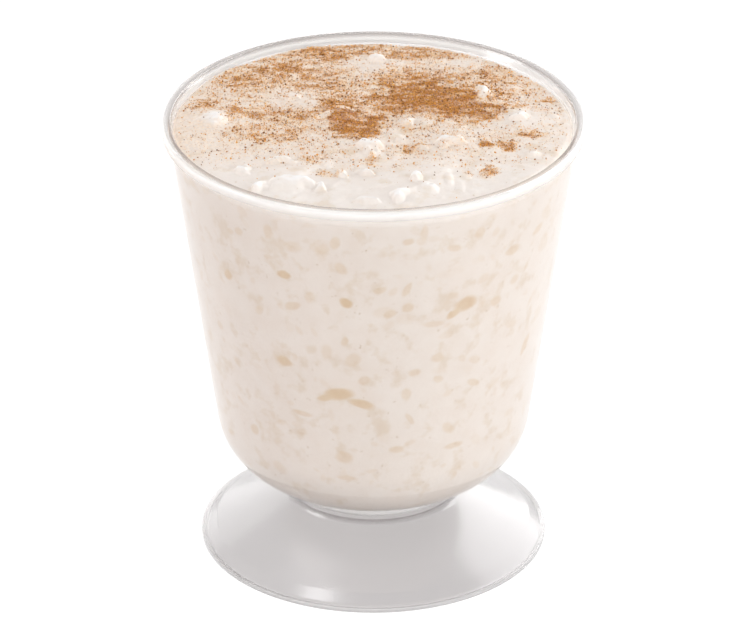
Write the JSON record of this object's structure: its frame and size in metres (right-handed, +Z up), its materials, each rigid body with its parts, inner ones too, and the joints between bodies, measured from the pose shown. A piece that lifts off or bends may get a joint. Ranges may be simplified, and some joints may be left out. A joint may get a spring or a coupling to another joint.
{
  "type": "rice pudding",
  "caption": "Rice pudding dusted with cinnamon, in the clear footed plastic dessert cup that holds it, filled to just under the rim.",
  "frame": {"origin": "on the cup's axis, in the plane that its foot stands on", "axes": "+Z up along the cup's axis, -Y towards the shown side"},
  "size_m": [0.084, 0.084, 0.0925],
  "materials": {
    "clear_plastic": "clear, polished",
    "pudding": "moist, soft",
    "cinnamon": "dry powder"
  },
  "bodies": {
    "root": {"bowl": "clear_plastic", "foot": "clear_plastic", "pudding": "pudding"}
  },
  "joints": []
}
